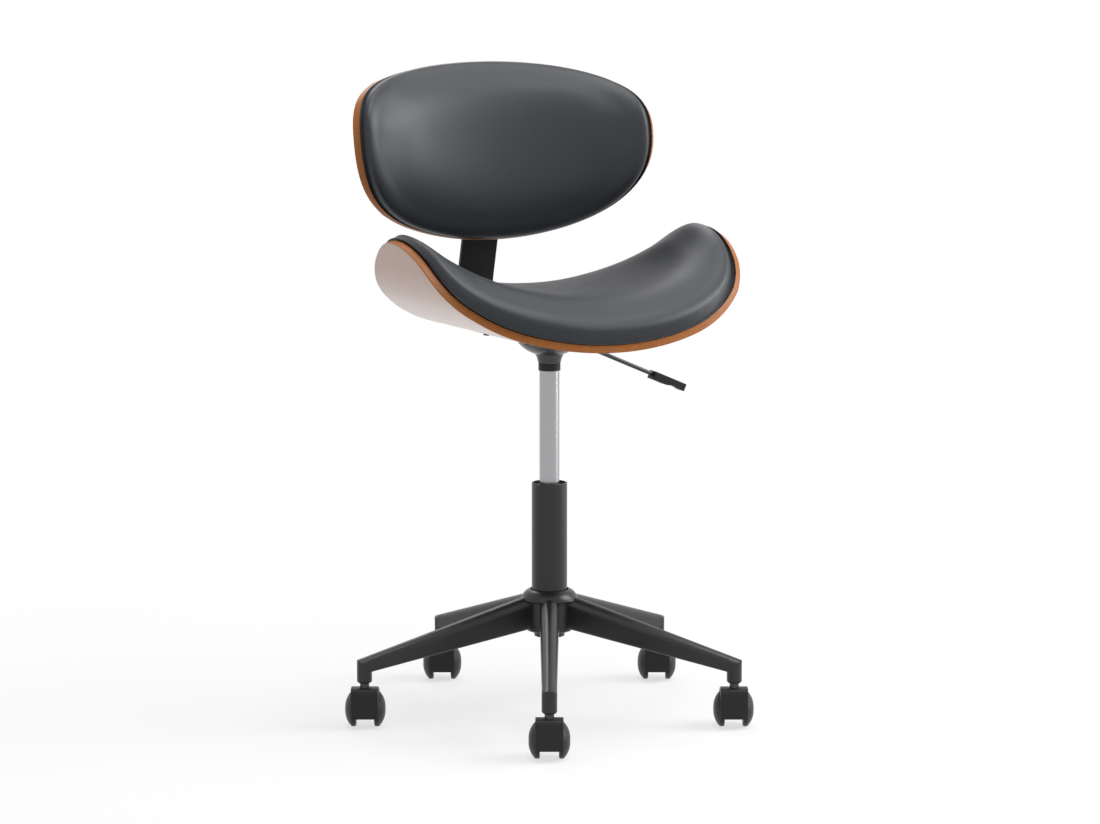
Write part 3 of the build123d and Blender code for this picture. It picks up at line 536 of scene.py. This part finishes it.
def settle(piece, start, outline, spec):
    # the swelling is evened out and fades towards the tacked-down outline
    sheet, verts = spec["sheet"], piece.data.vertices
    shifts = [v.co - was for v, was in zip(verts, start)]
    near = [[] for was in start]
    for edge in piece.data.edges:
        a, b = edge.vertices
        near[a].append(b)
        near[b].append(a)
    for turn in range(spec["blends"]):
        means = [sum((shifts[i] for i in ring), Vector()) / len(ring) for ring in near]
        shifts = [(shift + mean) / 2 for shift, mean in zip(shifts, means)]
    loose = piece.vertex_groups.new(name="loose")
    low = spec["clear"] + skinMake["touch"]
    most = 0.0
    for v, was, shift in zip(verts, start, shifts):
        run, across, lift = liftOf(sheet, was)
        gap = outline.find((run, across - sheet["centre"], 0))[2]
        free = easeIn(gap, 0.0, spec["rim"]) if lift > low else 0.0
        shift = shift * free
        if shift.length > spec["cap"]:
            shift = shift * (spec["cap"] / shift.length)
        most = max(most, shift.length)
        v.co = was + shift
        loose.add([v.index], free, "REPLACE")
    return most


def swollenPad(name, node, body, spec):
    piece, outline = padBlank(name, spec)
    start = [v.co.copy() for v in piece.data.vertices]
    swell(piece, spec)
    most = settle(piece, start, outline, spec)
    even = piece.modifiers.new("even", "SMOOTH")
    even.factor = skinMake["evenShare"]
    even.iterations = spec["evenings"]
    even.vertex_group = "loose"
    finer = piece.modifiers.new("finer", "SUBSURF")
    finer.levels = finer.render_levels = 1
    applyModifiers(piece)
    piece.vertex_groups.clear()
    smoothFaces(piece.data)
    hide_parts(node)
    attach(piece, body)
    print(name, len(piece.data.polygons), "faces, swelled up to", round(most * 1000, 1), "mm")


swollenPad("seatPad", "seat_pad", "seat", seatPadSpec)
swollenPad("backPad", "back_pad", "seat", backPadSpec)
print("pads made")

# floor, lamps and the pale surroundings: the camera and reflections see them white
studio = {
    "sky": (0.96, 0.97, 1.0, 1), "skyStrength": 0.38, "white": (1, 1, 1, 1), "aim": (0, 0, 0.62),
    "floor": (0.86, 0.86, 0.86, 1), "floorSize": 60.0, "floorRough": 0.9, "floorShine": 0.1,
    "glow": 0.68, "glowFrom": 0.35, "glowTo": 1.5,
}
lamps = {
    "topLamp": {"power": 36.0, "size": (1.8, 1.4), "place": (0.1, -0.3, 2.8)},
    "keyLamp": {"power": 82.0, "size": (2.0, 1.8), "place": (2.5, -1.2, 2.3)},
    "fillLamp": {"power": 5.0, "size": (1.8, 1.6), "place": (-2.2, -2.0, 2.2)},
    "sideLamp": {"power": 9.0, "size": (0.5, 1.1), "place": (2.3, -0.6, 0.6)},
    "rimLamp": {"power": 14.0, "size": (1.6, 0.8), "place": (0.4, 2.2, 2.4)},
}


def joinValues(tree, operation, first, second):
    node = addNode(tree, "ShaderNodeMath", operation=operation)
    tree.links.new(first, node.inputs[0])
    tree.links.new(second, node.inputs[1])
    return node.outputs[0]


def seenDirectly(tree):
    path = addNode(tree, "ShaderNodeLightPath").outputs
    mirrored = joinValues(tree, "MAXIMUM", path["Is Glossy Ray"], path["Is Transmission Ray"])
    return joinValues(tree, "MAXIMUM", path["Is Camera Ray"], mirrored)


def mixInto(tree, end, share, first, second):
    mix = addNode(tree, "ShaderNodeMixShader")
    for slot, value in zip(mix.inputs, (share, first, second)):
        tree.links.new(value, slot)
    tree.links.new(mix.outputs[0], tree.nodes[end].inputs["Surface"])


def paleWorld(spec):
    world = bpy.data.worlds.new("studio")
    scene.world = world
    world.use_nodes = True
    tree = world.node_tree
    sky = tree.nodes["Background"]
    sky.inputs["Color"].default_value = spec["sky"]
    sky.inputs["Strength"].default_value = spec["skyStrength"]
    white = addNode(tree, "ShaderNodeBackground", Color=spec["white"], Strength=1.0)
    mixInto(tree, "World Output", seenDirectly(tree), sky.outputs[0], white.outputs[0])


def paleFloor(spec):
    bm = bmesh.new()
    bmesh.ops.create_grid(bm, x_segments=1, y_segments=1, size=spec["floorSize"])
    mat, tree, shader = newFinish("paleFloor")
    shader.inputs["Base Color"].default_value = spec["floor"]
    shader.inputs["Roughness"].default_value = spec["floorRough"]
    shader.inputs["Specular IOR Level"].default_value = spec["floorShine"]
    glow = addNode(tree, "ShaderNodeEmission", Strength=1.0)
    distance = addNode(tree, "ShaderNodeVectorMath", operation="LENGTH")
    tree.links.new(objectPlace(tree), distance.inputs[0])
    fade = addNode(tree, "ShaderNodeMapRange", interpolation_type="SMOOTHSTEP", From_Min=spec["glowFrom"],
                   From_Max=spec["glowTo"], To_Min=spec["glow"], To_Max=1.0)
    tree.links.new(distance.outputs["Value"], fade.inputs["Value"])
    share = joinValues(tree, "MULTIPLY", seenDirectly(tree), fade.outputs["Result"])
    mixInto(tree, "Material Output", share, shader.outputs[0], glow.outputs[0])
    floor = linkMesh("paleFloor", bm, mat)


def softLamp(name, spec, aim):
    data = bpy.data.lights.new(name, "AREA")
    data.energy = spec["power"]
    data.shape = "RECTANGLE"
    data.size, data.size_y = spec["size"]
    lamp = bpy.data.objects.new(name, data)
    lamp.location = spec["place"]
    lamp.rotation_euler = (aim - lamp.location).to_track_quat("-Z", "Y").to_euler()
    scene.collection.objects.link(lamp)


paleWorld(studio)
paleFloor(studio)
for name, spec in lamps.items():
    softLamp(name, spec, Vector(studio["aim"]))
print("studio made")
